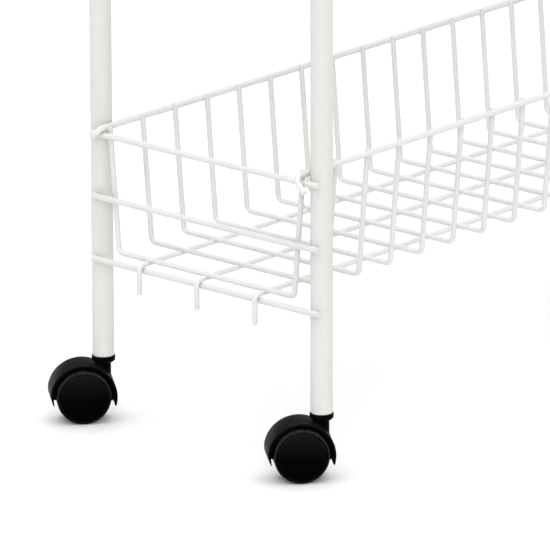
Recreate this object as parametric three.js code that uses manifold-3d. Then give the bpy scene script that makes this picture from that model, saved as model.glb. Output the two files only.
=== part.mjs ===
// Slim rolling pantry cart: two tubular end frames, three hook-on wire baskets and four
// hooded twin-wheel casters. Millimetres, +Z up, origin on the floor under the middle of the cart.
// X runs along the cart, from the front end (-X) to the rear end (+X). +Y is the left side.
import * as THREE from "three";
import { mergeVertices } from "three/addons/utils/BufferGeometryUtils.js";
import Module from "manifold-3d";

// ---- Driving dimensions -------------------------------------------------------------------
const POST_SPACING_X = 589; // centre to centre along the cart
const POST_SPACING_Y = 209; // centre to centre across the cart
const POST_D = 16;
const POST_WALL = 1.2;
const POST_BOTTOM_Z = 49.3;
const POST_TOP_Z = 763;
const GAP = 0.3; // between pieces that touch

const END_WIRE_D = 4.5;
const END_WIRE_PITCH = 47.25; // three wires per tier, one above the other
const END_WIRE_LENGTH = 215;
const END_WIRE_OFFSET = 3; // to the right at the front end, to the left at the rear end
const TIER_Z = [125, 379, 633]; // lowest end wire of each tier

const RIM_D = 4.8;
const RIB_D = 4;
const FLOOR_WIRE_D = 4;
const RIB_SPACES = 17;
const RIB_END_INSET = 1; // from the end wire to the first rib, besides the gap
const FLOOR_WIRE_Y = [-55, 0, 55];
const RIM_ABOVE_TIER = 99.5;
const RIB_FLOOR_HALF_WIDTH = 83.5; // at the foot of the leaning side walls
const RIB_FLOOR_ABOVE_TIER = 7;
const RIB_BEND_R = 4.5;
const RIB_WELD_OFFSET = 2.2; // rib centre inside rim centre, sunk into the rim by the weld
const RIB_ABOVE_RIM = 2.6; // rib tips above the rim's centre
const RIM_OVER_X = 1.75; // where the rim starts to fall, beyond the end wire's centre
const RIM_CORNER = { x: 5.45, y: 1.5, z: -3 }; // where it turns outward, from the end wire and the rim
const RIM_LONG_TAIL = { y: 7, z: -8 }; // from that corner to the tip: front end of the right rim
const RIM_SHORT_TAIL = { y: 4.5, z: -4 }; // and its rear end; the left rim is the same wire turned round
const RIM_BEND_R = 4;
const HOOK_DROP = 17; // hook tip below the lowest end wire
const WIRE_BEND_R = 5;

const HANDLE_TOP_Z = 823;
const HANDLE_BEND_R = 42;
const SPIGOT_LENGTH = 30; // swaged handle end pushed into the post

const WHEEL_R = 20;
const WHEEL_INNER_Y = 5.2; // from the caster's middle plane
const WHEEL_OUTER_Y = 13.4;
const CAP_R = 17.6;
const CAP_CROWN_Y = 15.3;
const HOOD_R = 24.6;
const HOOD_WALL = 2.4;
const HOOD_HALF_WIDTH = 12.4;
const HOOD_DROP_DEG = { rear: 13.5, front: 16 }; // how far the hood's ends come below the axle
const WEB_DROP_DEG = { rear: 9.5, front: 15.5 }; // and the web between the wheels
const HOOD_WEB = 3.4;
const TRAIL = 15.6; // axle behind the swivel axis
const TRAIL_HEADING_DEG = { front: 138.4, rear: -41.6 }; // where casters trail at rest, from +X to +Y
const COLLAR_R = 8.6;
const COLLAR_Z = [44.3, 49];
const BOSS_R = 5.5;
const BOSS_TOP_Z = 44;
const AXLE_D = 4;
const STEM_D = 7.8;
const STEM_FOOT_D = 6;
const STEM_Z = [30.5, 77];

const WIRE_SIDES = 6;
const TUBE_SIDES = 12;
const WHEEL_SIDES = 20;

// ---- Materials ----------------------------------------------------------------------------
function finish(color, roughness, metalness) {
  return new THREE.MeshStandardMaterial({ color, roughness, metalness });
}
const whiteTube = finish(0xeceae6, 0.4, 0.1);
const whiteWire = finish(0xf2f2f0, 0.45, 0.1);
const blackMoulding = finish(0x161616, 0.5, 0);
const blackWheel = finish(0x1c1c1c, 0.35, 0);
const plainSteel = finish(0xa9abad, 0.35, 0.9);

// ---- Helpers ------------------------------------------------------------------------------
const manifold = await Module();
manifold.setup();

function polygon(radius, sides, turn = 0) {
  const points = [];
  for (let i = 0; i < sides; i++) {
    const a = turn + (2 * Math.PI * i) / sides;
    points.push(new THREE.Vector2(radius * Math.cos(a), radius * Math.sin(a)));
  }
  return points;
}

// A path through given stations, with a mitred tangent at each, so that a sweep along it has
// one ring of vertices per station.
class StationPath extends THREE.Curve {
  constructor(stations) {
    super();
    this.stations = stations;
  }
  getPoint(t) {
    const last = this.stations.length - 1;
    const i = Math.min(Math.floor(t * last + 1e-9), last - 1);
    return this.stations[i].clone().lerp(this.stations[i + 1], t * last - i);
  }
  getPointAt(u) {
    return this.getPoint(u);
  }
  getTangentAt(u) {
    const last = this.stations.length - 1;
    const i = Math.round(u * last);
    const before = this.stations[Math.max(i - 1, 0)];
    const here = this.stations[i];
    const after = this.stations[Math.min(i + 1, last)];
    const inward = here.clone().sub(before).normalize();
    const outward = after.clone().sub(here).normalize();
    return inward.add(outward).normalize();
  }
}

// Stations of a bent wire: straight runs between corners, each corner an arc of bendRadius.
function bentStations(corners, bendRadius, arcSteps) {
  const stations = [corners[0].clone()];
  for (let i = 1; i < corners.length - 1; i++) {
    const back = corners[i - 1].clone().sub(corners[i]).normalize();
    const on = corners[i + 1].clone().sub(corners[i]).normalize();
    const half = back.angleTo(on) / 2;
    const middle = back.clone().add(on).normalize();
    const centre = corners[i].clone().addScaledVector(middle, bendRadius / Math.sin(half));
    const from = corners[i].clone().addScaledVector(back, bendRadius / Math.tan(half)).sub(centre);
    const turnAxis = back.clone().cross(on).normalize();
    for (let k = 0; k <= arcSteps; k++) {
      const angle = (-(Math.PI - 2 * half) * k) / arcSteps;
      stations.push(from.clone().applyAxisAngle(turnAxis, angle).add(centre));
    }
  }
  stations.push(corners[corners.length - 1].clone());
  return stations;
}

function sweep(corners, diameter, { bend = WIRE_BEND_R, arcSteps = 2, sides = WIRE_SIDES, bore = 0 } = {}) {
  const section = new THREE.Shape(polygon(diameter / 2, sides));
  if (bore) section.holes.push(new THREE.Path(polygon(bore / 2, sides).reverse()));
  const stations = bentStations(corners, bend, arcSteps);
  return new THREE.ExtrudeGeometry(section, {
    steps: stations.length - 1,
    extrudePath: new StationPath(stations),
    bevelEnabled: false,
  });
}

// Revolves [radius, height] points about +Z.
function revolve(points, sides, turn = 0) {
  const profile = points.map(([r, z]) => new THREE.Vector2(r, z));
  return new THREE.LatheGeometry(profile, sides, turn).rotateX(Math.PI / 2);
}

function solid(geometry) {
  const bare = new THREE.BufferGeometry();
  bare.setAttribute("position", geometry.getAttribute("position"));
  if (geometry.index) bare.setIndex(geometry.index);
  const merged = mergeVertices(bare, 1e-4);
  return new manifold.Manifold(
    new manifold.Mesh({
      numProp: 3,
      vertProperties: merged.attributes.position.array,
      triVerts: new Uint32Array(merged.index.array),
    }),
  );
}

function geometryOf(body) {
  const mesh = body.getMesh();
  const geometry = new THREE.BufferGeometry();
  geometry.setAttribute("position", new THREE.BufferAttribute(new Float32Array(mesh.vertProperties), 3));
  geometry.setIndex(new THREE.BufferAttribute(new Uint32Array(mesh.triVerts), 1));
  return geometry;
}

function join(geometries) {
  return geometries.map(solid).reduce((whole, piece) => whole.add(piece));
}

function named(name, geometry, material) {
  const mesh = new THREE.Mesh(geometry, material);
  mesh.name = name;
  return mesh;
}

const at = (x, y, z) => new THREE.Vector3(x, y, z);
const cart = new THREE.Group();
const ENDS = [
  { name: "front", sign: -1 },
  { name: "rear", sign: 1 },
];
const SIDES = [
  { name: "left", sign: 1 },
  { name: "right", sign: -1 },
];
const TIERS = ["lower", "middle", "upper"];
const POST_X = POST_SPACING_X / 2;
const POST_Y = POST_SPACING_Y / 2;
const POST_R = POST_D / 2;
const END_WIRE_X = POST_X + POST_R + GAP + END_WIRE_D / 2;

// ---- End frames ---------------------------------------------------------------------------
// Round tube, open at both ends: the caster socket fills the bottom and the handle the top.
function makePost() {
  return sweep([at(0, 0, POST_BOTTOM_Z), at(0, 0, POST_TOP_Z)], POST_D, {
    sides: TUBE_SIDES,
    bore: POST_D - 2 * POST_WALL,
  });
}

// Bent tube joining the two posts of an end, with a swaged spigot in each post.
function makeHandle() {
  const bore = POST_D - 2 * POST_WALL;
  const foot = POST_TOP_Z + GAP;
  const top = HANDLE_TOP_Z - POST_R;
  const bow = sweep([at(0, -POST_Y, foot), at(0, -POST_Y, top), at(0, POST_Y, top), at(0, POST_Y, foot)], POST_D, {
    bend: HANDLE_BEND_R,
    arcSteps: 3,
    sides: TUBE_SIDES,
    bore,
  });
  const spigotR = bore / 2 - GAP;
  const boreR = spigotR - POST_WALL;
  const neck = 3;
  const spigot = revolve(
    [
      [boreR, foot - SPIGOT_LENGTH],
      [spigotR, foot - SPIGOT_LENGTH],
      [spigotR, foot],
      [POST_R - 0.6, foot],
      [POST_R - 0.6, foot + neck],
      [boreR, foot + neck],
      [boreR, foot - SPIGOT_LENGTH],
    ],
    TUBE_SIDES,
  );
  return join([bow, ...SIDES.map(({ sign }) => spigot.clone().translate(0, sign * POST_Y, 0))]);
}

function addEndFrame({ name, sign }) {
  const post = makePost();
  const wire = sweep([at(0, -END_WIRE_LENGTH / 2, 0), at(0, END_WIRE_LENGTH / 2, 0)], END_WIRE_D, { sides: 8 });
  for (const side of SIDES) {
    const mesh = named(`${name}_${side.name}_post`, post, whiteTube);
    mesh.position.set(sign * POST_X, side.sign * POST_Y, 0);
    cart.add(mesh);
  }
  const handle = named(`${name}_handle`, geometryOf(makeHandle()), whiteTube);
  handle.position.x = sign * POST_X;
  cart.add(handle);
  TIERS.forEach((tier, t) => {
    ["bottom", "middle", "top"].forEach((level, k) => {
      const mesh = named(`${name}_${tier}_${level}_end_wire`, wire, whiteWire);
      mesh.position.set(sign * END_WIRE_X, sign * END_WIRE_OFFSET, TIER_Z[t] + k * END_WIRE_PITCH);
      cart.add(mesh);
    });
  });
}

// ---- Wire basket, heights from the lowest end wire of its tier ------------------------------
const RIM_Y = POST_Y - POST_R - RIM_D / 2 - GAP;
const RIB_END_X = END_WIRE_X - END_WIRE_D / 2 - GAP - RIB_END_INSET - RIB_D / 2;

function makeRib() {
  const topY = RIM_Y - RIB_WELD_OFFSET;
  const corners = [
    at(0, -topY, RIM_ABOVE_TIER + RIB_ABOVE_RIM),
    at(0, -RIB_FLOOR_HALF_WIDTH, RIB_FLOOR_ABOVE_TIER),
    at(0, RIB_FLOOR_HALF_WIDTH, RIB_FLOOR_ABOVE_TIER),
    at(0, topY, RIM_ABOVE_TIER + RIB_ABOVE_RIM),
  ];
  return sweep(corners, RIB_D, { bend: RIB_BEND_R });
}

// The right rim: passes inside the posts and over the top end wires, falls in front of them, then
// turns outward and down.
function makeRim() {
  const z = RIM_ABOVE_TIER;
  const end = (sign, tail) => {
    const over = at(sign * (END_WIRE_X + RIM_OVER_X), -RIM_Y, z);
    const corner = at(sign * (END_WIRE_X + RIM_CORNER.x), -RIM_Y - RIM_CORNER.y, z + RIM_CORNER.z);
    return [corner.clone().add(at(0, -tail.y, tail.z)), corner, over];
  };
  return sweep([...end(-1, RIM_LONG_TAIL), ...end(1, RIM_SHORT_TAIL).reverse()], RIM_D, { bend: RIM_BEND_R });
}

// Runs under the ribs, over the lowest end wires, and down in front of them as a hook.
function makeFloorWire() {
  const z = (END_WIRE_D + FLOOR_WIRE_D) / 2 + GAP;
  const hookX = END_WIRE_X + (END_WIRE_D + FLOOR_WIRE_D) / 2 + GAP;
  const corners = [at(-hookX, 0, -HOOK_DROP), at(-hookX, 0, z), at(hookX, 0, z), at(hookX, 0, -HOOK_DROP)];
  return sweep(corners, FLOOR_WIRE_D, { bend: 4 });
}

function makeBasket() {
  const pieces = [makeRim(), makeRim().rotateZ(Math.PI)];
  for (const y of FLOOR_WIRE_Y) pieces.push(makeFloorWire().translate(0, y, 0));
  const rib = makeRib();
  for (let i = 0; i <= RIB_SPACES; i++) {
    const x = -RIB_END_X + (2 * RIB_END_X * i) / RIB_SPACES;
    pieces.push(rib.clone().translate(x, 0, 0));
  }
  return geometryOf(join(pieces));
}

function addBaskets() {
  const basket = makeBasket();
  TIERS.forEach((tier, t) => {
    const mesh = named(`${tier}_basket`, basket, whiteWire);
    mesh.position.z = TIER_Z[t];
    cart.add(mesh);
  });
}

// ---- Casters: built about the swivel axis, trailing along +X, axle along Y -------------------
// Plastic insert pressed into the foot of the post, with a collar under the tube.
function makeSocket() {
  const sleeveR = POST_D / 2 - POST_WALL - GAP;
  const boreR = STEM_D / 2 + GAP;
  const chamfer = 1.4;
  const [low, high] = COLLAR_Z;
  return revolve(
    [
      [boreR, low],
      [COLLAR_R - chamfer, low],
      [COLLAR_R, low + chamfer],
      [COLLAR_R, high],
      [sleeveR, high],
      [sleeveR, STEM_Z[1] + 2],
      [boreR, STEM_Z[1] + 2],
      [boreR, low],
    ],
    TUBE_SIDES,
  );
}

// Steel stem: wide in the socket, a narrower foot that the caster body turns on.
function makeStem() {
  const shoulder = BOSS_TOP_Z + GAP;
  return revolve(
    [
      [0, STEM_Z[0]],
      [STEM_FOOT_D / 2, STEM_Z[0]],
      [STEM_FOOT_D / 2, shoulder],
      [STEM_D / 2, shoulder],
      [STEM_D / 2, STEM_Z[1] - 1],
      [STEM_D / 2 - 1, STEM_Z[1]],
      [0, STEM_Z[1]],
    ],
    TUBE_SIDES,
  );
}

// An extrusion along Y, centred on the caster's middle plane, from an outline in X and Z.
function acrossCaster(shape, width, curveSegments) {
  return new THREE.ExtrudeGeometry(shape, { depth: width, bevelEnabled: false, curveSegments })
    .rotateX(Math.PI / 2)
    .translate(0, width / 2, 0);
}

// Hooded body: an arched shell over both wheels, a middle web, an axle hub and the stem boss.
function makeHood() {
  const start = -THREE.MathUtils.degToRad(HOOD_DROP_DEG.rear);
  const stop = Math.PI + THREE.MathUtils.degToRad(HOOD_DROP_DEG.front);
  const arch = new THREE.Shape();
  arch.absarc(0, 0, HOOD_R, start, stop, false);
  arch.absarc(0, 0, HOOD_R - HOOD_WALL, stop, start, true);
  const shell = acrossCaster(arch, 2 * HOOD_HALF_WIDTH, 12);

  const webOutline = new THREE.Shape();
  const webStart = -THREE.MathUtils.degToRad(WEB_DROP_DEG.rear);
  const webStop = Math.PI + THREE.MathUtils.degToRad(WEB_DROP_DEG.front);
  webOutline.absarc(0, 0, HOOD_R - HOOD_WALL / 2, webStart, webStop, false);
  const web = acrossCaster(webOutline, HOOD_WEB, 12);
  const hub = acrossCaster(new THREE.Shape(polygon(5, TUBE_SIDES)), 2 * (WHEEL_INNER_Y - GAP), 1);

  // Neck round the stem: full width above the shell, narrower between the wheels.
  const neckLow = STEM_Z[0] - 3 - WHEEL_R;
  const innerBossR = WHEEL_INNER_Y - 2 * GAP;
  const outerNeck = revolve(
    [
      [0, HOOD_R * 0.55],
      [innerBossR, HOOD_R * 0.55],
      [BOSS_R, HOOD_R * 0.66],
      [BOSS_R, BOSS_TOP_Z - WHEEL_R],
      [0, BOSS_TOP_Z - WHEEL_R],
    ],
    TUBE_SIDES,
  ).translate(-TRAIL, 0, 0);
  const innerNeck = revolve(
    [
      [0, neckLow],
      [innerBossR, neckLow],
      [innerBossR, HOOD_R * 0.6],
      [0, HOOD_R * 0.6],
    ],
    TUBE_SIDES,
  ).translate(-TRAIL, 0, 0);

  const stemBore = revolve(
    [
      [0, STEM_Z[0] - 1 - WHEEL_R],
      [STEM_FOOT_D / 2 + GAP, STEM_Z[0] - 1 - WHEEL_R],
      [STEM_FOOT_D / 2 + GAP, HOOD_R + 2],
      [0, HOOD_R + 2],
    ],
    TUBE_SIDES,
  ).translate(-TRAIL, 0, 0);
  const axleBore = acrossCaster(new THREE.Shape(polygon(AXLE_D / 2 + GAP, TUBE_SIDES)), 2 * WHEEL_OUTER_Y, 1);
  const whole = join([shell, web, hub, outerNeck, innerNeck]);
  const body = whole.subtract(solid(stemBore)).subtract(solid(axleBore));
  return geometryOf(body).translate(TRAIL, 0, WHEEL_R);
}

// Profiles in [radius, distance from the middle plane], revolved about the axle.
// The tread's facets sit at the wheel radius, so a flat one meets the floor.
function makeWheel() {
  const tread = WHEEL_R / Math.cos(Math.PI / WHEEL_SIDES);
  const boreR = AXLE_D / 2 + GAP;
  const recess = CAP_R + GAP;
  return revolve(
    [
      [boreR, WHEEL_INNER_Y],
      [tread - 1, WHEEL_INNER_Y],
      [tread, WHEEL_INNER_Y + 1],
      [tread, WHEEL_OUTER_Y - 1.4],
      [tread - 1.4, WHEEL_OUTER_Y],
      [recess, WHEEL_OUTER_Y],
      [recess, WHEEL_OUTER_Y - 1.6],
      [boreR, WHEEL_OUTER_Y - 1.6],
      [boreR, WHEEL_INNER_Y],
    ],
    WHEEL_SIDES,
    Math.PI / WHEEL_SIDES,
  );
}

function makeCap() {
  const low = WHEEL_OUTER_Y - 1.6 + GAP;
  return revolve(
    [
      [0, low],
      [CAP_R, low],
      [CAP_R, WHEEL_OUTER_Y + 0.2],
      [CAP_R * 0.7, CAP_CROWN_Y - 0.5],
      [0, CAP_CROWN_Y],
    ],
    WHEEL_SIDES,
  );
}

function makeAxle() {
  const reach = WHEEL_OUTER_Y - 1.6;
  return acrossCaster(new THREE.Shape(polygon(AXLE_D / 2, TUBE_SIDES)), 2 * reach - 2 * GAP, 1);
}

function addCaster(end, side) {
  const prefix = `${end.name}_${side.name}`;
  const x = end.sign * POST_X;
  const y = side.sign * POST_Y;
  const fixed = new THREE.Group();
  fixed.position.set(x, y, 0);
  fixed.add(named(`${prefix}_stem_socket`, makeSocket(), blackMoulding));
  fixed.add(named(`${prefix}_caster_stem`, makeStem(), plainSteel));

  const turning = new THREE.Group();
  turning.position.set(x, y, 0);
  turning.rotation.z = THREE.MathUtils.degToRad(TRAIL_HEADING_DEG[end.name]);
  turning.add(named(`${prefix}_caster_hood`, makeHood(), blackMoulding));
  turning.add(named(`${prefix}_caster_axle`, makeAxle().translate(TRAIL, 0, WHEEL_R), plainSteel));
  for (const wheelSide of SIDES) {
    const group = new THREE.Group();
    group.position.set(TRAIL, 0, WHEEL_R);
    group.rotation.x = (-wheelSide.sign * Math.PI) / 2;
    group.add(named(`${prefix}_caster_${wheelSide.name}_wheel`, makeWheel(), blackWheel));
    group.add(named(`${prefix}_caster_${wheelSide.name}_cap`, makeCap(), blackWheel));
    turning.add(group);
  }
  cart.add(fixed, turning);
}

for (const end of ENDS) addEndFrame(end);
addBaskets();
for (const end of ENDS) {
  for (const side of SIDES) addCaster(end, side);
}

export default cart;
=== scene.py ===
"""Looks of a slim rolling pantry cart: white powder-coated tube and wire, black moulded casters."""

import math

import bpy
from mathutils import Matrix, Vector


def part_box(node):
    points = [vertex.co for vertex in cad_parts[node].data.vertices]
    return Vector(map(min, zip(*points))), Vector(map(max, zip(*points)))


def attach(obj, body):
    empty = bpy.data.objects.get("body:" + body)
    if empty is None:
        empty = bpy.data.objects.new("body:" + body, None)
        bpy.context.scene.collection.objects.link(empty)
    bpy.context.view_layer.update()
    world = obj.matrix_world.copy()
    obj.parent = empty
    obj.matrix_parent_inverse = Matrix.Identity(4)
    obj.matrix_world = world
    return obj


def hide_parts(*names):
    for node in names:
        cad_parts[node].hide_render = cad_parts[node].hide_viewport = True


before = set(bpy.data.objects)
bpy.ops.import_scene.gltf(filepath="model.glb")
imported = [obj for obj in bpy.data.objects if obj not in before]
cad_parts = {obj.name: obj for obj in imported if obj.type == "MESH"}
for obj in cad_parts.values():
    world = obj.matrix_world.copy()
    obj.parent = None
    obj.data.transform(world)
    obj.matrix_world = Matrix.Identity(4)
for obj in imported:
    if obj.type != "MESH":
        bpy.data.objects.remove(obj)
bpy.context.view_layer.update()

MM = 0.001
ENDS = (("front", -1), ("rear", 1))
SIDES = (("left", 1), ("right", -1))
TIERS = ("lower", "middle", "upper")
LEVELS = ("bottom", "middle", "top")


def centre(node):
    """Middle of a CAD node's box, in millimetres."""
    low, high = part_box(node)
    return (low + high) / 2 / MM


# ---- Dimensions in millimetres, as in the CAD ----------------------------------------------
POST = centre("front_left_post")
POST_X, POST_Y = abs(POST.x), abs(POST.y)
POST_R, POST_WALL = 8.0, 1.2
POST_Z = [v.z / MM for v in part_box("front_left_post")]
GAP = 0.3
END_WIRE_R = 2.25
END_WIRE_X = POST_X + POST_R + GAP + END_WIRE_R
END_WIRE_HALF = 107.5
END_WIRE_OFFSET = 3.0
TIER_Z = [centre(f"front_{t}_bottom_end_wire").z for t in TIERS]

RIM_R, RIB_R, FLOOR_R = 2.4, 2.0, 2.0
RIM_H = 99.5
RIM_Y = POST_Y - POST_R - RIM_R - GAP
RIM_OVER_X = END_WIRE_X + 1.75  # where the rim passes over the top end wire
RIM_CORNER = (END_WIRE_X + 5.45, RIM_Y + 1.5, RIM_H - 3)  # where it turns outward, in front of the wire
RIM_LONG_TAIL, RIM_SHORT_TAIL = (7.0, -8.0), (4.5, -4.0)  # outward, up
RIM_BEND_R = 4.0
RIB_COUNT = 18
RIB_END_X = END_WIRE_X - END_WIRE_R - GAP - 1 - RIB_R
RIB_FOOT_Y = 83.5
RIB_FLOOR_H = 7.0
RIB_BEND_R = 4.5
RIB_TOP_Y = RIM_Y - 2.2
RIB_TOP_H = RIM_H + 2.6
FLOOR_WIRES_Y = (-55.0, 0.0, 55.0)
FLOOR_WIRE_H = END_WIRE_R + FLOOR_R + GAP
HOOK_X = END_WIRE_X + END_WIRE_R + FLOOR_R + GAP
HOOK_DROP, HOOK_BEND_R = 17.0, 4.0
WIRE_END_CUT = 0.6

HANDLE_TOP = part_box("front_handle")[1].z / MM
HANDLE_BEND_R = 42.0
SPIGOT_DEPTH, SPIGOT_RISE, SPIGOT_WALL = 30, 3, 1.2

WHEEL_R = 20.0
WHEEL_IN, WHEEL_OUT = 5.2, 13.4
WHEEL_DISH = 1.6
CAP_R, CAP_CROWN = 17.6, 15.3
HOOD_R, HOOD_WALL, HOOD_HALF = 24.6, 2.4, 12.4
HOOD_DROP_REAR, HOOD_DROP_FRONT = math.radians(13.5), math.radians(16)
HOOD_TAPER_REAR, HOOD_TAPER_FRONT = math.radians(26), math.radians(9)
WEB_DROP_REAR, WEB_DROP_FRONT = math.radians(9.5), math.radians(15.5)
WEB_HALF, WEB_OVERLAP = 1.7, 0.6
HUB_R, AXLE_BORE_R, AXLE_R = 5.0, 2.3, 2.0
TRAIL = 15.6
TRAIL_HEADING = {"front": math.radians(138.4), "rear": math.radians(-41.6)}
BOSS_R, BOSS_TOP = 5.5, 44.0
COLLAR_R, COLLAR_Z = 8.6, (44.3, 49.0)
STEM_Z = (30.5, 77.0)
STEM_R, STEM_HEAD_R = 3.0, 3.9
STEM_BORE_R, STEM_BORE_DEPTH, SOCKET_BORE_R = 3.3, 13, 4.2
NECK_BELOW, NECK_ABOVE = 3, 4.5  # from the stem's foot

CAMERA_AT = (-3.99202, -3.25980, 1.63512)
CAMERA_TURN, CAMERA_RISE, CAMERA_ROLL = (math.radians(v) for v in (-49.1356, 16.9786, -0.118))
CAMERA_LENS, CAMERA_SENSOR = 470.98, 36.0
FLOOR_HALF, FLOOR_GREY, FLOOR_ROUGHNESS = 200, 0.8, 0.9
SKY_STRENGTH = 2.2
SKY_LEVELS = ((0.0, 0.5), (0.03, 0.5), (0.12, 0.02), (0.3, 0.04), (1.0, 1.0))  # height, share of strength


# ---- Mesh building ---------------------------------------------------------------------------
class Shape:
    """Vertices in millimetres, faces, and a value from 0 to 1 at each vertex for wear; on the black parts
    it also paints a highlight along edges.
    """

    def __init__(self):
        self.points, self.faces, self.wear_and_highlight = [], [], []

    def ring(self, points, wear_and_highlight=0.0):
        start = len(self.points)
        self.points += [tuple(p) for p in points]
        self.wear_and_highlight += [wear_and_highlight] * len(points)
        return range(start, start + len(points))

    def skin(self, rings, closed_loop=False):
        pairs = list(zip(rings, rings[1:])) + ([(rings[-1], rings[0])] if closed_loop else [])
        for a, b in pairs:
            n = len(a)
            for i in range(n):
                j = (i + 1) % n
                self.faces.append((a[i], a[j], b[j], b[i]))

    def lid(self, ring, flip=False):
        self.faces.append(tuple(reversed(ring)) if flip else tuple(ring))

    def add(self, other, matrix=None):
        start = len(self.points)
        self.points += [tuple(matrix @ Vector(p)) if matrix else p for p in other.points]
        self.wear_and_highlight += other.wear_and_highlight
        self.faces += [tuple(start + i for i in f) for f in other.faces]
        return self

    def mesh(self, name, sharp_degrees=40):
        made = bpy.data.meshes.new(name)
        made.from_pydata([tuple(c * MM for c in p) for p in self.points], [], self.faces)
        made.attributes.new("wear_and_highlight", "FLOAT", "POINT").data.foreach_set("value", self.wear_and_highlight)
        made.polygons.foreach_set("use_smooth", [True] * len(made.polygons))
        made.set_sharp_from_angle(angle=math.radians(sharp_degrees))
        made.update()
        return made


def rounded_path(corners, bend, steps):
    """Points of a bent wire: straight runs joined by arcs of radius bend."""
    corners = [Vector(c) for c in corners]
    path = [corners[0]]
    for before, corner, after in zip(corners, corners[1:], corners[2:]):
        back, on = (before - corner).normalized(), (after - corner).normalized()
        half = back.angle(on) / 2
        middle = corner + (back + on).normalized() * (bend / math.sin(half))
        start = corner + back * (bend / math.tan(half)) - middle
        axis = back.cross(on).normalized()
        turn = -(math.pi - 2 * half)
        path += [middle + Matrix.Rotation(turn * k / steps, 3, axis) @ start for k in range(steps + 1)]
    return path + [corners[-1]]


def sweep(corners, radius, bend=5.0, steps=8, sides=24, cut=0.35, cut_wear=0.6, closed=True):
    """A round wire along corners. Its ends are cut square, with the edge broken by cut."""
    path = rounded_path(corners, bend, steps) if len(corners) > 2 else [Vector(c) for c in corners]
    first, last = (path[1] - path[0]).normalized(), (path[-1] - path[-2]).normalized()
    path = [path[0], path[0] + first * cut] + path[1:-1] + [path[-1] - last * cut, path[-1]]
    radii = [radius - cut] + [radius] * (len(path) - 2) + [radius - cut]
    wear_and_highlight = [cut_wear, cut_wear * 0.6] + [0.0] * (len(path) - 4) + [cut_wear * 0.6, cut_wear]
    shape = Shape()
    normal = first.orthogonal().normalized()
    tangent = first
    rings = []
    for i, point in enumerate(path):
        before = (point - path[i - 1]).normalized() if i else first
        after = (path[i + 1] - point).normalized() if i + 1 < len(path) else last
        new_tangent = (before + after).normalized()
        normal = tangent.rotation_difference(new_tangent) @ normal
        tangent = new_tangent
        side = tangent.cross(normal)
        rings.append(shape.ring([
            point + (normal * math.cos(a) + side * math.sin(a)) * radii[i]
            for a in (2 * math.pi * k / sides for k in range(sides))
        ], wear_and_highlight[i]))
    shape.skin(rings)
    if closed:
        shape.lid(rings[0], flip=True)
        shape.lid(rings[-1])
    return shape


def revolve(profile, segments=64, wear_and_highlight=None, closed_loop=False):
    """Turns [radius, height] points about Z. A radius of 0 closes the surface at the axis."""
    shape = Shape()
    rings = []
    for i, (r, z) in enumerate(profile):
        w = wear_and_highlight[i] if wear_and_highlight else 0.0
        r = max(r, 1e-3)
        rings.append(shape.ring([
            (r * math.cos(a), r * math.sin(a), z)
            for a in (2 * math.pi * k / segments for k in range(segments))
        ], w))
    shape.skin(rings, closed_loop=closed_loop)
    if not closed_loop:
        shape.lid(rings[0], flip=True)
        shape.lid(rings[-1])
    return shape


def rounded(profile, radius, steps=4):
    """A closed profile with each corner turned into a small arc."""
    out = []
    n = len(profile)
    for i in range(n):
        before, corner, after = (Vector((*profile[k % n], 0)) for k in (i - 1, i, i + 1))
        back, on = before - corner, after - corner
        half = back.angle(on) / 2
        r = min(radius, 0.45 * min(back.length, on.length) * math.tan(half))
        if r < 0.02:
            out.append(tuple(corner[:2]))
            continue
        out += [tuple(p[:2]) for p in rounded_path([corner + back, corner, corner + on], r, steps)[1:-1]]
    return out


def sleeve(inner, outer, low, high, edge, segments=48):
    """A short tube with edges rounded by edge."""
    section = [(inner, low), (outer, low), (outer, high), (inner, high)]
    return revolve(rounded(section, edge), segments, closed_loop=True)


def blob(centre_point, radii, rings=8, sides=16, wear_and_highlight=0.25):
    """A weld nugget: a small flattened bead."""
    shape = Shape()
    made = []
    for i in range(rings + 1):
        a = -math.pi / 2 + math.pi * i / rings
        r, z = max(math.cos(a), 1e-3), math.sin(a)
        made.append(shape.ring([
            (centre_point[0] + radii[0] * r * math.cos(b), centre_point[1] + radii[1] * r * math.sin(b),
             centre_point[2] + radii[2] * z)
            for b in (2 * math.pi * k / sides for k in range(sides))
        ], wear_and_highlight))
    shape.skin(made)
    shape.lid(made[0], flip=True)
    shape.lid(made[-1])
    return shape


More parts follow.
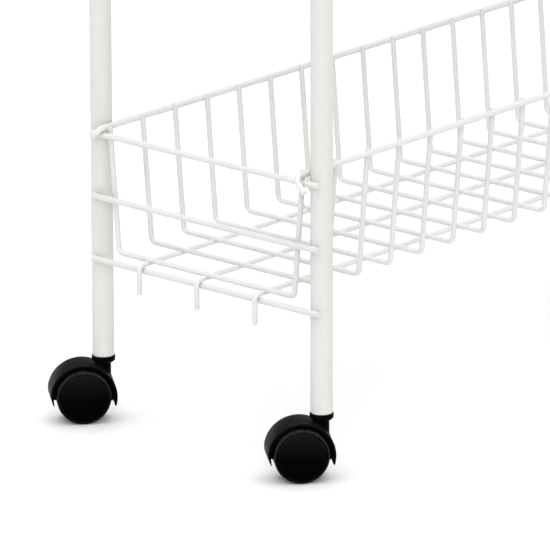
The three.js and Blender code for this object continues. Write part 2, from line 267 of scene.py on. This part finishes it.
# ---- Materials -------------------------------------------------------------------------------
class Finish:
    """A principled material whose colour, roughness and bump are built from noise."""

    def __init__(self, name, metallic=0.0, **sockets):
        self.material = bpy.data.materials.new(name)
        self.material.use_nodes = True
        self.nodes = self.material.node_tree.nodes
        self.links = self.material.node_tree.links
        self.bsdf = self.nodes["Principled BSDF"]
        self.bsdf.inputs["Metallic"].default_value = metallic
        for socket, value in sockets.items():
            self.bsdf.inputs[socket.replace("_", " ")].default_value = value
        self.place = self.nodes.new("ShaderNodeTexCoord").outputs["Object"]
        self.height = None

    def noise(self, scale, detail=3.0, stretch=(1, 1, 1), rough=0.55):
        mapping = self.nodes.new("ShaderNodeMapping")
        mapping.inputs["Scale"].default_value = stretch
        self.links.new(self.place, mapping.inputs["Vector"])
        texture = self.nodes.new("ShaderNodeTexNoise")
        texture.inputs["Scale"].default_value = scale
        texture.inputs["Detail"].default_value = detail
        texture.inputs["Roughness"].default_value = rough
        self.links.new(mapping.outputs["Vector"], texture.inputs["Vector"])
        return texture.outputs["Fac"]

    def upward(self, low, high):
        """0 to 1 as the surface turns from facing down to facing up: settled dust, and painted light that
        makes tops lighter.
        """
        normal = self.nodes.new("ShaderNodeNewGeometry").outputs["Normal"]
        split = self.nodes.new("ShaderNodeSeparateXYZ")
        self.links.new(normal, split.inputs["Vector"])
        return self.spread(split.outputs["Z"], low, high)

    def wear_and_highlight(self):
        node = self.nodes.new("ShaderNodeAttribute")
        node.attribute_name = "wear_and_highlight"
        return node.outputs["Fac"]

    def spread(self, value, low, high, to_low=0.0, to_high=1.0):
        node = self.nodes.new("ShaderNodeMapRange")
        sockets = ("From Min", "From Max", "To Min", "To Max")
        for socket, number in zip(sockets, (low, high, to_low, to_high)):
            node.inputs[socket].default_value = number
        self.links.new(value, node.inputs["Value"])
        return node.outputs["Result"]

    def times(self, a, b):
        node = self.nodes.new("ShaderNodeMath")
        node.operation = "MULTIPLY"
        self.links.new(a, node.inputs[0])
        self.links.new(b, node.inputs[1])
        return node.outputs[0]

    def mix(self, factor, a, b):
        node = self.nodes.new("ShaderNodeMix")
        node.data_type = "RGBA"
        self.links.new(factor, node.inputs["Factor"])
        for socket, colour in (("A", a), ("B", b)):
            target = next(s for s in node.inputs if s.name == socket and s.type == "RGBA")
            if isinstance(colour, tuple):
                target.default_value = (*colour, 1)
            else:
                self.links.new(colour, target)
        return next(s for s in node.outputs if s.type == "RGBA")

    def colour(self, value):
        self.links.new(value, self.bsdf.inputs["Base Color"])

    def roughness(self, value):
        self.links.new(value, self.bsdf.inputs["Roughness"])

    def bump(self, height, distance, strength=1.0):
        node = self.nodes.new("ShaderNodeBump")
        node.inputs["Distance"].default_value = distance
        node.inputs["Strength"].default_value = strength
        self.links.new(height, node.inputs["Height"])
        if self.height:
            self.links.new(self.height, node.inputs["Normal"])
        self.height = node.outputs["Normal"]
        self.links.new(self.height, self.bsdf.inputs["Normal"])


def powder_coat(name, light, shade, worn_and_highlight_colour):
    f = Finish(name)
    cloud = f.spread(f.noise(14, 4), 0.35, 0.65)
    speck = f.spread(f.noise(2600, 2), 0.62, 0.75, 0, 0.35)
    base = f.mix(cloud, light, shade)
    base = f.mix(speck, base, tuple(c * 0.9 for c in shade))
    rub_and_highlight = f.times(f.wear_and_highlight(), f.spread(f.noise(700, 4), 0.3, 0.6))
    f.colour(f.mix(rub_and_highlight, base, worn_and_highlight_colour))
    f.roughness(f.spread(f.noise(180, 4), 0.3, 0.7, 0.3, 0.46))
    f.bump(f.noise(420, 2), 0.00007, 0.5)
    f.bump(f.noise(1700, 2), 0.00002, 0.5)
    return f.material


def moulded(name, base, dust_and_top_light_colour, dust_and_top_light_range, worn_and_highlight_colour, rough, grain):
    f = Finish(name, Specular_IOR_Level=0.015)
    cloud = f.spread(f.noise(60, 4), 0.35, 0.65)
    body = f.mix(cloud, base, tuple(c * 1.5 for c in base))
    # Upward faces turn lighter: partly settled dust, partly painted top light that leaves the undersides
    # darker.
    top_light_and_dust_mask = f.times(f.upward(*dust_and_top_light_range), f.spread(f.noise(90, 5), 0.2, 0.7, 0.75, 1))
    body = f.mix(top_light_and_dust_mask, body, dust_and_top_light_colour)
    scuff = f.spread(f.noise(350, 6, stretch=(1, 1, 3)), 0.6, 0.72, 0, 0.5)
    body = f.mix(scuff, body, tuple(c * 2.2 for c in base))
    # Edges with a wear value turn lighter: partly wear, partly a painted highlight along the cap rim,
    # tread, hood arch ends and boss rim.
    rub_and_highlight = f.times(f.spread(f.wear_and_highlight(), 0.3, 1.0), f.spread(f.noise(500, 5), 0.35, 0.65))
    f.colour(f.mix(rub_and_highlight, body, worn_and_highlight_colour))
    f.roughness(f.spread(f.noise(260, 5), 0.3, 0.7, rough - 0.05, rough + 0.06))
    f.bump(f.noise(1500, 3), grain, 0.6)
    f.bump(f.noise(240, 2), 0.00002, 0.4)
    return f.material


def steel_finish():
    f = Finish("zinc_steel", metallic=1.0)
    line = f.spread(f.noise(900, 4, stretch=(1, 1, 0.1)), 0.3, 0.7)
    rub_and_highlight = f.times(f.wear_and_highlight(), f.spread(f.noise(600, 4), 0.35, 0.65))
    f.colour(f.mix(rub_and_highlight, f.mix(line, (0.52, 0.52, 0.53), (0.62, 0.62, 0.61)), (0.3, 0.28, 0.26)))
    f.roughness(f.spread(f.noise(300, 4), 0.3, 0.7, 0.25, 0.42))
    f.bump(f.noise(1200, 3, stretch=(1, 1, 0.1)), 0.00002, 0.4)
    return f.material


FINISHES = {
    "white_tube": powder_coat("white_coated_tube", light=(0.67, 0.66, 0.645), shade=(0.64, 0.63, 0.615),
                              worn_and_highlight_colour=(0.55, 0.54, 0.52)),
    "white_wire": powder_coat("white_coated_wire", light=(0.68, 0.68, 0.672), shade=(0.65, 0.65, 0.642),
                              worn_and_highlight_colour=(0.55, 0.55, 0.54)),
    # On the black mouldings and wheels the lighter colour of upward faces is partly dust, partly painted
    # top light.
    "black_moulding": moulded("black_moulding", base=(0.0012, 0.0011, 0.001),
                              dust_and_top_light_colour=(0.0105, 0.0093, 0.0085), dust_and_top_light_range=(0.3, 1.0),
                              worn_and_highlight_colour=(0.028, 0.026, 0.024), rough=0.36, grain=0.00001),
    # The black wheel's edge colour is lightened to paint highlights on the cap rim and tread, besides wear.
    "black_wheel": moulded("black_wheel", base=(0.0003, 0.0003, 0.0003),
                           dust_and_top_light_colour=(0.0115, 0.01, 0.009), dust_and_top_light_range=(-0.02, 0.3),
                           worn_and_highlight_colour=(0.05, 0.047, 0.044), rough=0.32, grain=0.000008),
    "steel": steel_finish(),
}


def piece(name, mesh, slot, body, node, matrix=None):
    """Puts a mesh in the scene in place of a CAD node, riding on that node's body."""
    made = bpy.data.objects.new(name, mesh)
    bpy.context.scene.collection.objects.link(made)
    if matrix:
        made.matrix_world = matrix
    if not mesh.materials:
        mesh.materials.append(FINISHES[slot])
    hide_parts(node)
    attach(made, body)
    return made


def shift(x=0.0, y=0.0, z=0.0):
    return Matrix.Translation(Vector((x, y, z)) * MM)


# ---- End frames --------------------------------------------------------------------------------
def tube_wall(corners, radius, wall, **bends):
    """A hollow tube with softly broken rims."""
    outer = sweep(corners, radius, closed=False, sides=48, cut=0.25, cut_wear=0.3, **bends)
    inner = sweep(corners, radius - wall, closed=False, sides=48, cut=-0.2, cut_wear=0.3, **bends)
    shape = Shape().add(outer)
    start = len(shape.points)
    shape.points += inner.points
    shape.wear_and_highlight += inner.wear_and_highlight
    shape.faces += [tuple(start + i for i in reversed(f)) for f in inner.faces]
    n, last = 48, len(outer.points) - 48
    for k in range(n):
        j = (k + 1) % n
        shape.faces.append((j, k, start + k, start + j))
        shape.faces.append((last + k, last + j, start + last + j, start + last + k))
    return shape


def end_frames():
    post = tube_wall([(0, 0, POST_Z[0]), (0, 0, POST_Z[1])], POST_R, POST_WALL).mesh("post_tube")
    foot, top = POST_Z[1] + GAP, HANDLE_TOP - POST_R
    bow = tube_wall([(0, -POST_Y, foot), (0, -POST_Y, top), (0, POST_Y, top), (0, POST_Y, foot)],
                    POST_R, POST_WALL, bend=HANDLE_BEND_R, steps=20)
    spigot_r = POST_R - POST_WALL - GAP
    spigot = sleeve(spigot_r - SPIGOT_WALL, spigot_r, foot - SPIGOT_DEPTH, foot + SPIGOT_RISE, 0.3)
    for _, side in SIDES:
        bow.add(spigot, Matrix.Translation((0, side * POST_Y, 0)))
    bow = bow.mesh("handle_bow")
    wire = sweep([(0, -END_WIRE_HALF, 0), (0, END_WIRE_HALF, 0)], END_WIRE_R)
    for end, sign in ENDS:
        welded = Shape().add(wire)
        for _, side in SIDES:
            weld_y = side * POST_Y - sign * END_WIRE_OFFSET
            welded.add(blob((-sign * (END_WIRE_R + 0.1), weld_y, 0), (1.1, 3.2, 2.0)))
        wire_mesh = welded.mesh(f"{end}_end_wire")
        for side, side_sign in SIDES:
            name = f"{end}_{side}_post"
            at = shift(sign * POST_X, side_sign * POST_Y)
            piece(f"{name}_tube", post, "white_tube", "cart_frame", name, at)
        piece(f"{end}_handle_bow", bow, "white_tube", "cart_frame", f"{end}_handle", shift(sign * POST_X))
        for tier in TIERS:
            for level in LEVELS:
                name = f"{end}_{tier}_{level}_end_wire"
                piece(f"{name}_coated", wire_mesh, "white_wire", "cart_frame", name,
                      shift(sign * END_WIRE_X, sign * END_WIRE_OFFSET, centre(name).z))


# ---- Baskets -----------------------------------------------------------------------------------
def basket_shape():
    shape = Shape()

    def rim_end(sign, tail):
        x, y, z = RIM_CORNER
        return [(sign * x, -y - tail[0], z + tail[1]), (sign * x, -y, z),
                (sign * RIM_OVER_X, -RIM_Y, RIM_H)]

    right_rim = sweep(rim_end(-1, RIM_LONG_TAIL) + rim_end(1, RIM_SHORT_TAIL)[::-1], RIM_R,
                      bend=RIM_BEND_R, cut=WIRE_END_CUT)
    shape.add(right_rim).add(right_rim, Matrix.Rotation(math.pi, 4, "Z"))
    for y in FLOOR_WIRES_Y:
        shape.add(sweep([(-HOOK_X, y, -HOOK_DROP), (-HOOK_X, y, FLOOR_WIRE_H), (HOOK_X, y, FLOOR_WIRE_H),
                         (HOOK_X, y, -HOOK_DROP)], FLOOR_R, bend=HOOK_BEND_R, cut=WIRE_END_CUT))
    rib = sweep([(0, -RIB_TOP_Y, RIB_TOP_H), (0, -RIB_FOOT_Y, RIB_FLOOR_H), (0, RIB_FOOT_Y, RIB_FLOOR_H),
                 (0, RIB_TOP_Y, RIB_TOP_H)], RIB_R, bend=RIB_BEND_R, steps=12, cut=WIRE_END_CUT)
    for _, side in SIDES:
        rib.add(blob((0, side * (RIM_Y - 1.4), RIM_H - 0.8), (2.7, 1.5, 2.3)))
    for y in FLOOR_WIRES_Y:
        rib.add(blob((0, y, (RIB_FLOOR_H + FLOOR_WIRE_H) / 2), (2.7, 2.7, 1.2)))
    for i in range(RIB_COUNT):
        x = -RIB_END_X + 2 * RIB_END_X * i / (RIB_COUNT - 1)
        shape.add(rib, Matrix.Translation((x, 0, 0)))
    return shape


def baskets():
    mesh = basket_shape().mesh("wire_basket")
    for tier, z in zip(TIERS, TIER_Z):
        piece(f"{tier}_wire_basket", mesh, "white_wire", "cart_frame", f"{tier}_basket", shift(0, 0, z))


# ---- Casters, about the swivel axis, trailing along +X, axle along Y -----------------------------
def arch(profile, start, stop, steps, taper_start, taper_stop):
    """Sweeps a closed [radius, y] profile about the axle.

    It thins from outside towards its first end, and from inside towards its last.
    """
    shape = Shape()
    rings = []
    inner, outer = min(r for r, _ in profile), max(r for r, _ in profile)

    def thickness(edge, taper, least):
        return least + (1 - least) * math.sin(min(edge / taper, 1) * math.pi / 2)

    for k in range(steps + 1):
        a = start + (stop - start) * k / steps
        points = []
        for r, y in profile:
            r = inner + (r - inner) * thickness(a - start, taper_start, 0.35)
            r = outer - (outer - r) * thickness(stop - a, taper_stop, 0.5)
            points.append((TRAIL + r * math.cos(a), y, WHEEL_R + r * math.sin(a)))
        # The end rings carry a wear value that lightens these edges: partly wear, partly a painted
        # highlight.
        rings.append(shape.ring(points, 0.5 if k in (0, steps) else 0.0))
    shape.skin(rings)
    shape.lid(rings[0], flip=True)
    shape.lid(rings[-1])
    return shape


def boss_with_fillet(fillet=1.8, segments=64, steps=8):
    """The stem boss rising from the hood, with a fillet that follows the hood's curve."""
    shape = Shape()

    def ring_at(r, rise=None, z=None, wear_and_highlight=0.0):
        points = []
        for k in range(segments):
            a = 2 * math.pi * k / segments
            x, y = r * math.cos(a), r * math.sin(a)
            across = min(abs(x - TRAIL), HOOD_R - 0.2)
            surface = WHEEL_R + math.sqrt(HOOD_R**2 - across**2)
            points.append((x, y, surface + rise if z is None else z))
        return shape.ring(points, wear_and_highlight)

    rings = [ring_at(BOSS_R + fillet + 0.3, -0.5)]
    for k in range(steps + 1):
        t = fillet * (1 - math.sin(k / steps * math.pi / 2))
        rings.append(ring_at(BOSS_R + t, fillet * (1 - math.cos(k / steps * math.pi / 2))))
    # The boss top's rim carries wear values that lighten it: partly wear, partly a painted highlight.
    rings += [ring_at(BOSS_R, z=BOSS_TOP - 0.5, wear_and_highlight=0.3),
              ring_at(BOSS_R - 0.15, z=BOSS_TOP - 0.15, wear_and_highlight=0.5),
              ring_at(BOSS_R - 0.5, z=BOSS_TOP, wear_and_highlight=0.4), ring_at(STEM_BORE_R, z=BOSS_TOP),
              ring_at(STEM_BORE_R, z=BOSS_TOP - STEM_BORE_DEPTH)]
    shape.skin(rings)
    return shape


def hood_shape():
    inner = HOOD_R - HOOD_WALL
    section = [(inner, HOOD_HALF), (inner, -HOOD_HALF), (HOOD_R, -HOOD_HALF), (HOOD_R, HOOD_HALF)]
    shape = arch(rounded(section, 1.0, 5), -HOOD_DROP_REAR, math.pi + HOOD_DROP_FRONT, 96,
                 HOOD_TAPER_REAR, HOOD_TAPER_FRONT)
    web_r = inner + WEB_OVERLAP
    sweep_angle = math.pi + WEB_DROP_REAR + WEB_DROP_FRONT
    outline = [(TRAIL + web_r * math.cos(a), WHEEL_R + web_r * math.sin(a)) for a in
               (-WEB_DROP_REAR + sweep_angle * k / 48 for k in range(49))]
    faces = [shape.ring([(x, y, z) for x, z in outline]) for y in (-WEB_HALF, WEB_HALF)]
    shape.skin(faces)
    shape.lid(faces[0])
    shape.lid(faces[1], flip=True)
    hub_half = WHEEL_IN - GAP
    hub = sleeve(AXLE_BORE_R, HUB_R, -hub_half, hub_half, 0.4)
    shape.add(hub, Matrix.Translation((TRAIL, 0, WHEEL_R)) @ Matrix.Rotation(math.pi / 2, 4, "X"))
    neck = sleeve(STEM_BORE_R, WHEEL_IN - 2 * GAP, STEM_Z[0] - NECK_BELOW, STEM_Z[0] + NECK_ABOVE, 0.3)
    return shape.add(neck).add(boss_with_fillet())


def wheel_shape():
    dish = WHEEL_OUT - WHEEL_DISH
    profile = rounded([(AXLE_BORE_R, WHEEL_IN), (WHEEL_R - 0.9, WHEEL_IN), (WHEEL_R, WHEEL_IN + 0.9),
                       (WHEEL_R, dish), (WHEEL_R - WHEEL_DISH, WHEEL_OUT), (CAP_R + GAP, WHEEL_OUT),
                       (CAP_R + GAP, dish), (AXLE_BORE_R, dish)], 0.9, 5)
    # The tread carries full wear, lightening it: partly wear, partly a painted highlight.
    wear_and_highlight = [1.0 if r > WHEEL_R - 0.3 else 0.15 for r, _ in profile]
    return revolve(profile, 128, wear_and_highlight, closed_loop=True)


def cap_shape():
    low = WHEEL_OUT - WHEEL_DISH + GAP
    edge = WHEEL_OUT + 0.2
    dome_r = CAP_R - 0.3
    profile = [(0, low), (CAP_R, low), (CAP_R, edge - 0.25), (CAP_R - 0.08, edge - 0.08), (dome_r, edge)]
    # The wear values at the cap's rim paint a light arc round it: a painted highlight.
    wear_and_highlight = [0, 0, 0.4, 0.5, 0.3]
    steps = 16
    for k in range(1, steps + 1):
        share = 1 - k / steps
        profile.append((dome_r * share, edge + (CAP_CROWN - edge) * (1 - share**2)))
        wear_and_highlight.append(0.1)
    return revolve(profile, 128, wear_and_highlight)


def caster_meshes():
    bore = SOCKET_BORE_R
    low, high = COLLAR_Z
    sleeve_r, sleeve_top = POST_R - POST_WALL - GAP, STEM_Z[1] + 2
    collar = rounded([(bore, low), (COLLAR_R - 1.4, low), (COLLAR_R, low + 1.4), (COLLAR_R, high),
                      (sleeve_r, high), (sleeve_r, sleeve_top), (bore, sleeve_top)], 0.35)
    foot, top = STEM_Z
    stem = [(0, foot), (STEM_R - 0.4, foot), (STEM_R, foot + 0.5), (STEM_R, low), (STEM_HEAD_R, low),
            (STEM_HEAD_R, top - 1), (STEM_HEAD_R - 0.7, top), (0, top)]
    reach, chamfer = WHEEL_OUT - WHEEL_DISH - GAP, 0.3
    axle = [(0, -reach), (AXLE_R - chamfer, -reach), (AXLE_R, -reach + chamfer), (AXLE_R, reach - chamfer),
            (AXLE_R - chamfer, reach), (0, reach)]
    return {
        "stem_socket": revolve(collar, 64, closed_loop=True).mesh("stem_socket_moulding"),
        "caster_stem": revolve(stem, 48).mesh("caster_stem_pin"),
        "caster_hood": hood_shape().mesh("caster_hood_moulding"),
        "caster_axle": revolve(axle, 32).mesh("caster_axle_pin"),
        "wheel": wheel_shape().mesh("caster_wheel_moulding"),
        "cap": cap_shape().mesh("caster_cap_moulding"),
    }


def casters():
    meshes = caster_meshes()
    for end, x_sign in ENDS:
        for side, y_sign in SIDES:
            prefix = f"{end}_{side}"
            at = shift(x_sign * POST_X, y_sign * POST_Y)
            turned = at @ Matrix.Rotation(TRAIL_HEADING[end], 4, "Z")
            hub = turned @ shift(TRAIL, 0, WHEEL_R)
            fork = f"{prefix}_caster_fork"
            piece(f"{prefix}_socket_moulding", meshes["stem_socket"], "black_moulding", "cart_frame",
                  f"{prefix}_stem_socket", at)
            piece(f"{prefix}_stem_pin", meshes["caster_stem"], "steel", "cart_frame",
                  f"{prefix}_caster_stem", at)
            piece(f"{prefix}_hood_moulding", meshes["caster_hood"], "black_moulding", fork,
                  f"{prefix}_caster_hood", turned)
            piece(f"{prefix}_axle_pin", meshes["caster_axle"], "steel", fork, f"{prefix}_caster_axle",
                  hub @ Matrix.Rotation(math.pi / 2, 4, "X"))
            for wheel, wheel_sign in SIDES:
                node = f"{prefix}_caster_{wheel}"
                spun = hub @ Matrix.Rotation(-wheel_sign * math.pi / 2, 4, "X")
                for part in ("wheel", "cap"):
                    piece(f"{node}_{part}_moulding", meshes[part], "black_wheel", f"{node}_wheel_set",
                          f"{node}_{part}", spun)


# ---- Studio ------------------------------------------------------------------------------------
def towards(turn, rise):
    """Unit vector to a place seen at azimuth turn (0 in front, along -Y) and elevation rise, in radians."""
    return Vector((math.sin(turn) * math.cos(rise), -math.cos(turn) * math.cos(rise), math.sin(rise)))


def camera():
    data = bpy.data.cameras.new("view")
    data.sensor_width, data.lens = CAMERA_SENSOR, CAMERA_LENS
    data.clip_start, data.clip_end = 0.1, 100.0
    made = bpy.data.objects.new("view", data)
    bpy.context.scene.collection.objects.link(made)
    back = towards(CAMERA_TURN, CAMERA_RISE)
    right = Vector((math.cos(CAMERA_TURN), math.sin(CAMERA_TURN), 0))
    up = back.cross(right)
    across, along = math.cos(CAMERA_ROLL), math.sin(CAMERA_ROLL)
    right, up = right * across + up * along, up * across - right * along
    made.matrix_world = Matrix.Translation(CAMERA_AT) @ Matrix((right, up, back)).transposed().to_4x4()
    bpy.context.scene.camera = made


def sun(name, turn, rise, strength, angle, colour=(1, 1, 1)):
    data = bpy.data.lights.new(name, "SUN")
    data.energy, data.angle, data.color = strength, math.radians(angle), colour
    made = bpy.data.objects.new(name, data)
    bpy.context.scene.collection.objects.link(made)
    made.rotation_euler = towards(math.radians(turn), math.radians(rise)).to_track_quat("Z", "Y").to_euler()


def sky():
    """A soft white room: bright above and in a thin band at the horizon, dim between."""
    world = bpy.data.worlds.new("studio")
    bpy.context.scene.world = world
    world.use_nodes = True
    nodes, links = world.node_tree.nodes, world.node_tree.links
    direction = nodes.new("ShaderNodeTexCoord").outputs["Generated"]
    split = nodes.new("ShaderNodeSeparateXYZ")
    links.new(direction, split.inputs[0])
    glow = nodes.new("ShaderNodeValToRGB")
    ramp = glow.color_ramp
    for place, level in SKY_LEVELS:
        stop = ramp.elements.new(place) if 0 < place < 1 else ramp.elements[round(place)]
        stop.color = (level, level, level, 1)
    links.new(split.outputs["Z"], glow.inputs["Fac"])
    links.new(glow.outputs["Color"], nodes["Background"].inputs["Color"])
    nodes["Background"].inputs["Strength"].default_value = SKY_STRENGTH


def pale_floor():
    paint = bpy.data.materials.new("pale_floor")
    paint.use_nodes = True
    bsdf = paint.node_tree.nodes["Principled BSDF"]
    bsdf.inputs["Base Color"].default_value = (FLOOR_GREY, FLOOR_GREY, FLOOR_GREY, 1)
    bsdf.inputs["Roughness"].default_value = FLOOR_ROUGHNESS
    floor = bpy.data.meshes.new("floor")
    corners = [(x * FLOOR_HALF, y * FLOOR_HALF, 0) for x, y in ((-1, -1), (1, -1), (1, 1), (-1, 1))]
    floor.from_pydata(corners, [], [(0, 1, 2, 3)])
    floor.materials.append(paint)
    made = bpy.data.objects.new("floor", floor)
    bpy.context.scene.collection.objects.link(made)
    made.location.z = -0.0001  # just below the wheels


def studio():
    sky()
    sun("overhead_softbox", turn=-60, rise=82, strength=0.5, angle=60)
    sun("front_softbox", turn=-49, rise=27, strength=0.95, angle=26, colour=(1, 0.99, 0.97))
    pale_floor()
    bpy.context.scene.view_settings.view_transform = "Standard"


camera()
studio()
end_frames()
baskets()
casters()
